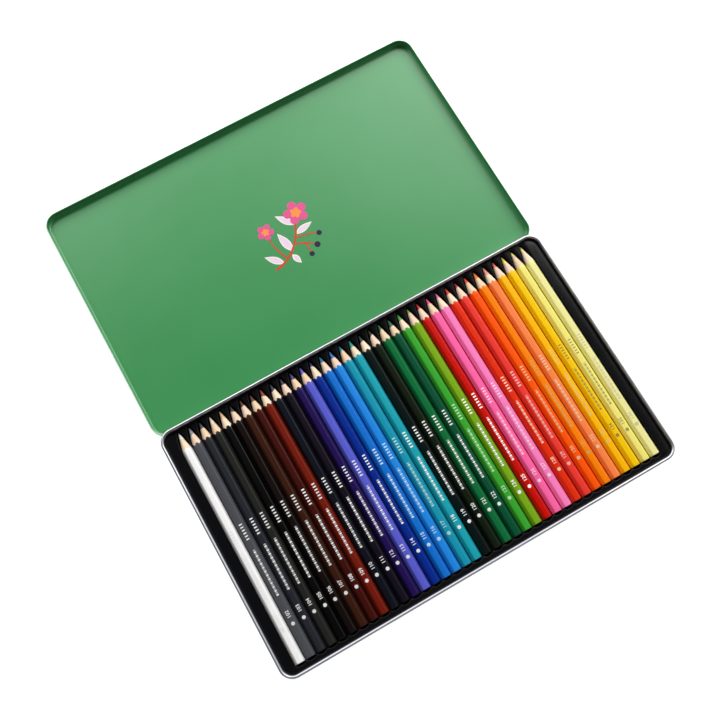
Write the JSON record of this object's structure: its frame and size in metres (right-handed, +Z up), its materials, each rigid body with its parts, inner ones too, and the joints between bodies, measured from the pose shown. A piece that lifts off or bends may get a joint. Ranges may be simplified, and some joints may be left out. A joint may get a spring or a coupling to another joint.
{
  "type": "coloured pencil tin",
  "caption": "Flat hinged tin, open with its lid laid back, holding a formed tray of sharpened hexagonal coloured pencils in one row.",
  "frame": {"origin": "centre of the base's underside, where the tin stands", "axes": "+X along the row of pencils to the right, +Y from the pencils' butts to their tips and on to the hinge and the open lid, +Z up"},
  "size_m": [0.3098, 0.3765, 0.0125],
  "materials": {
    "bright_tinplate": "bright lacquered tinplate, rolled at the rim",
    "green_tinplate": "gloss green enamel on drawn tinplate",
    "hinge_wire": "drawn bright wire",
    "tray_sheet": "vacuum-formed black polystyrene with a soft sheen",
    "white_lacquer": "gloss lacquer on cedar, with bare wood and coloured lead at the point",
    "slate_grey_lacquer": "gloss lacquer on cedar, with bare wood and coloured lead at the point",
    "dark_slate_lacquer": "gloss lacquer on cedar, with bare wood and coloured lead at the point",
    "charcoal_lacquer": "gloss lacquer on cedar, with bare wood and coloured lead at the point",
    "black_lacquer": "gloss lacquer on cedar, with bare wood and coloured lead at the point",
    "umber_lacquer": "gloss lacquer on cedar, with bare wood and coloured lead at the point",
    "dark_brown_lacquer": "gloss lacquer on cedar, with bare wood and coloured lead at the point",
    "maroon_lacquer": "gloss lacquer on cedar, with bare wood and coloured lead at the point",
    "brick_red_lacquer": "gloss lacquer on cedar, with bare wood and coloured lead at the point",
    "blue_black_lacquer": "gloss lacquer on cedar, with bare wood and coloured lead at the point",
    "purple_black_lacquer": "gloss lacquer on cedar, with bare wood and coloured lead at the point",
    "dark_violet_lacquer": "gloss lacquer on cedar, with bare wood and coloured lead at the point",
    "lavender_lacquer": "gloss lacquer on cedar, with bare wood and coloured lead at the point",
    "ultramarine_lacquer": "gloss lacquer on cedar, with bare wood and coloured lead at the point",
    "blue_lacquer": "gloss lacquer on cedar, with bare wood and coloured lead at the point",
    "bright_blue_lacquer": "gloss lacquer on cedar, with bare wood and coloured lead at the point",
    "teal_lacquer": "gloss lacquer on cedar, with bare wood and coloured lead at the point",
    "turquoise_lacquer": "gloss lacquer on cedar, with bare wood and coloured lead at the point",
    "pine_black_lacquer": "gloss lacquer on cedar, with bare wood and coloured lead at the point",
    "olive_black_lacquer": "gloss lacquer on cedar, with bare wood and coloured lead at the point",
    "green_lacquer": "gloss lacquer on cedar, with bare wood and coloured lead at the point",
    "dark_green_lacquer": "gloss lacquer on cedar, with bare wood and coloured lead at the point",
    "bright_green_lacquer": "gloss lacquer on cedar, with bare wood and coloured lead at the point",
    "yellow_green_lacquer": "gloss lacquer on cedar, with bare wood and coloured lead at the point",
    "red_lacquer": "gloss lacquer on cedar, with bare wood and coloured lead at the point",
    "hot_pink_lacquer": "gloss lacquer on cedar, with bare wood and coloured lead at the point",
    "light_pink_lacquer": "gloss lacquer on cedar, with bare wood and coloured lead at the point",
    "red_orange_lacquer": "gloss lacquer on cedar, with bare wood and coloured lead at the point",
    "coral_red_lacquer": "gloss lacquer on cedar, with bare wood and coloured lead at the point",
    "orange_red_lacquer": "gloss lacquer on cedar, with bare wood and coloured lead at the point",
    "orange_lacquer": "gloss lacquer on cedar, with bare wood and coloured lead at the point",
    "salmon_lacquer": "gloss lacquer on cedar, with bare wood and coloured lead at the point",
    "amber_lacquer": "gloss lacquer on cedar, with bare wood and coloured lead at the point",
    "yellow_lacquer": "gloss lacquer on cedar, with bare wood and coloured lead at the point",
    "pale_yellow_lacquer": "gloss lacquer on cedar, with bare wood and coloured lead at the point",
    "lemon_lacquer": "gloss lacquer on cedar, with bare wood and coloured lead at the point"
  },
  "bodies": {
    "base": {"base_pan": "bright_tinplate", "hinge_wire_left": "hinge_wire", "hinge_wire_right": "hinge_wire"},
    "lid": {"lid_pan": "green_tinplate"},
    "tray": {"pencil_tray": "tray_sheet"},
    "pencil_01": {"pencil_01_white": "white_lacquer"},
    "pencil_02": {"pencil_02_slate_grey": "slate_grey_lacquer"},
    "pencil_03": {"pencil_03_dark_slate": "dark_slate_lacquer"},
    "pencil_04": {"pencil_04_charcoal": "charcoal_lacquer"},
    "pencil_05": {"pencil_05_black": "black_lacquer"},
    "pencil_06": {"pencil_06_umber": "umber_lacquer"},
    "pencil_07": {"pencil_07_dark_brown": "dark_brown_lacquer"},
    "pencil_08": {"pencil_08_maroon": "maroon_lacquer"},
    "pencil_09": {"pencil_09_brick_red": "brick_red_lacquer"},
    "pencil_10": {"pencil_10_blue_black": "blue_black_lacquer"},
    "pencil_11": {"pencil_11_purple_black": "purple_black_lacquer"},
    "pencil_12": {"pencil_12_dark_violet": "dark_violet_lacquer"},
    "pencil_13": {"pencil_13_lavender": "lavender_lacquer"},
    "pencil_14": {"pencil_14_ultramarine": "ultramarine_lacquer"},
    "pencil_15": {"pencil_15_blue": "blue_lacquer"},
    "pencil_16": {"pencil_16_bright_blue": "bright_blue_lacquer"},
    "pencil_17": {"pencil_17_teal": "teal_lacquer"},
    "pencil_18": {"pencil_18_turquoise": "turquoise_lacquer"},
    "pencil_19": {"pencil_19_pine_black": "pine_black_lacquer"},
    "pencil_20": {"pencil_20_olive_black": "olive_black_lacquer"},
    "pencil_21": {"pencil_21_green": "green_lacquer"},
    "pencil_22": {"pencil_22_dark_green": "dark_green_lacquer"},
    "pencil_23": {"pencil_23_bright_green": "bright_green_lacquer"},
    "pencil_24": {"pencil_24_yellow_green": "yellow_green_lacquer"},
    "pencil_25": {"pencil_25_red": "red_lacquer"},
    "pencil_26": {"pencil_26_hot_pink": "hot_pink_lacquer"},
    "pencil_27": {"pencil_27_light_pink": "light_pink_lacquer"},
    "pencil_28": {"pencil_28_red_orange": "red_orange_lacquer"},
    "pencil_29": {"pencil_29_coral_red": "coral_red_lacquer"},
    "pencil_30": {"pencil_30_orange_red": "orange_red_lacquer"},
    "pencil_31": {"pencil_31_orange": "orange_lacquer"},
    "pencil_32": {"pencil_32_salmon": "salmon_lacquer"},
    "pencil_33": {"pencil_33_amber": "amber_lacquer"},
    "pencil_34": {"pencil_34_yellow": "yellow_lacquer"},
    "pencil_35": {"pencil_35_pale_yellow": "pale_yellow_lacquer"},
    "pencil_36": {"pencil_36_lemon": "lemon_lacquer"}
  },
  "joints": [
    {"name": "lid_hinge", "type": "hinge", "parent": "base", "child": "lid", "pos_m": [0, 0.0937, 0.0068], "axis": [1, 0, 0], "range_deg": [0, 180]},
    {"name": "tray_lift", "type": "slide", "parent": "base", "child": "tray", "axis": [0, 0, -1], "range_m": [-0.04, 0]},
    {"name": "pencil_01_lift", "type": "slide", "parent": "tray", "child": "pencil_01", "axis": [0, 0, -1], "range_m": [-0.03, 0]},
    {"name": "pencil_02_lift", "type": "slide", "parent": "tray", "child": "pencil_02", "axis": [0, 0, -1], "range_m": [-0.03, 0]},
    {"name": "pencil_03_lift", "type": "slide", "parent": "tray", "child": "pencil_03", "axis": [0, 0, -1], "range_m": [-0.03, 0]},
    {"name": "pencil_04_lift", "type": "slide", "parent": "tray", "child": "pencil_04", "axis": [0, 0, -1], "range_m": [-0.03, 0]},
    {"name": "pencil_05_lift", "type": "slide", "parent": "tray", "child": "pencil_05", "axis": [0, 0, -1], "range_m": [-0.03, 0]},
    {"name": "pencil_06_lift", "type": "slide", "parent": "tray", "child": "pencil_06", "axis": [0, 0, -1], "range_m": [-0.03, 0]},
    {"name": "pencil_07_lift", "type": "slide", "parent": "tray", "child": "pencil_07", "axis": [0, 0, -1], "range_m": [-0.03, 0]},
    {"name": "pencil_08_lift", "type": "slide", "parent": "tray", "child": "pencil_08", "axis": [0, 0, -1], "range_m": [-0.03, 0]},
    {"name": "pencil_09_lift", "type": "slide", "parent": "tray", "child": "pencil_09", "axis": [0, 0, -1], "range_m": [-0.03, 0]},
    {"name": "pencil_10_lift", "type": "slide", "parent": "tray", "child": "pencil_10", "axis": [0, 0, -1], "range_m": [-0.03, 0]},
    {"name": "pencil_11_lift", "type": "slide", "parent": "tray", "child": "pencil_11", "axis": [0, 0, -1], "range_m": [-0.03, 0]},
    {"name": "pencil_12_lift", "type": "slide", "parent": "tray", "child": "pencil_12", "axis": [0, 0, -1], "range_m": [-0.03, 0]},
    {"name": "pencil_13_lift", "type": "slide", "parent": "tray", "child": "pencil_13", "axis": [0, 0, -1], "range_m": [-0.03, 0]},
    {"name": "pencil_14_lift", "type": "slide", "parent": "tray", "child": "pencil_14", "axis": [0, 0, -1], "range_m": [-0.03, 0]},
    {"name": "pencil_15_lift", "type": "slide", "parent": "tray", "child": "pencil_15", "axis": [0, 0, -1], "range_m": [-0.03, 0]},
    {"name": "pencil_16_lift", "type": "slide", "parent": "tray", "child": "pencil_16", "axis": [0, 0, -1], "range_m": [-0.03, 0]},
    {"name": "pencil_17_lift", "type": "slide", "parent": "tray", "child": "pencil_17", "axis": [0, 0, -1], "range_m": [-0.03, 0]},
    {"name": "pencil_18_lift", "type": "slide", "parent": "tray", "child": "pencil_18", "axis": [0, 0, -1], "range_m": [-0.03, 0]},
    {"name": "pencil_19_lift", "type": "slide", "parent": "tray", "child": "pencil_19", "axis": [0, 0, -1], "range_m": [-0.03, 0]},
    {"name": "pencil_20_lift", "type": "slide", "parent": "tray", "child": "pencil_20", "axis": [0, 0, -1], "range_m": [-0.03, 0]},
    {"name": "pencil_21_lift", "type": "slide", "parent": "tray", "child": "pencil_21", "axis": [0, 0, -1], "range_m": [-0.03, 0]},
    {"name": "pencil_22_lift", "type": "slide", "parent": "tray", "child": "pencil_22", "axis": [0, 0, -1], "range_m": [-0.03, 0]},
    {"name": "pencil_23_lift", "type": "slide", "parent": "tray", "child": "pencil_23", "axis": [0, 0, -1], "range_m": [-0.03, 0]},
    {"name": "pencil_24_lift", "type": "slide", "parent": "tray", "child": "pencil_24", "axis": [0, 0, -1], "range_m": [-0.03, 0]},
    {"name": "pencil_25_lift", "type": "slide", "parent": "tray", "child": "pencil_25", "axis": [0, 0, -1], "range_m": [-0.03, 0]},
    {"name": "pencil_26_lift", "type": "slide", "parent": "tray", "child": "pencil_26", "axis": [0, 0, -1], "range_m": [-0.03, 0]},
    {"name": "pencil_27_lift", "type": "slide", "parent": "tray", "child": "pencil_27", "axis": [0, 0, -1], "range_m": [-0.03, 0]},
    {"name": "pencil_28_lift", "type": "slide", "parent": "tray", "child": "pencil_28", "axis": [0, 0, -1], "range_m": [-0.03, 0]},
    {"name": "pencil_29_lift", "type": "slide", "parent": "tray", "child": "pencil_29", "axis": [0, 0, -1], "range_m": [-0.03, 0]},
    {"name": "pencil_30_lift", "type": "slide", "parent": "tray", "child": "pencil_30", "axis": [0, 0, -1], "range_m": [-0.03, 0]},
    {"name": "pencil_31_lift", "type": "slide", "parent": "tray", "child": "pencil_31", "axis": [0, 0, -1], "range_m": [-0.03, 0]},
    {"name": "pencil_32_lift", "type": "slide", "parent": "tray", "child": "pencil_32", "axis": [0, 0, -1], "range_m": [-0.03, 0]},
    {"name": "pencil_33_lift", "type": "slide", "parent": "tray", "child": "pencil_33", "axis": [0, 0, -1], "range_m": [-0.03, 0]},
    {"name": "pencil_34_lift", "type": "slide", "parent": "tray", "child": "pencil_34", "axis": [0, 0, -1], "range_m": [-0.03, 0]},
    {"name": "pencil_35_lift", "type": "slide", "parent": "tray", "child": "pencil_35", "axis": [0, 0, -1], "range_m": [-0.03, 0]},
    {"name": "pencil_36_lift", "type": "slide", "parent": "tray", "child": "pencil_36", "axis": [0, 0, -1], "range_m": [-0.03, 0]}
  ]
}
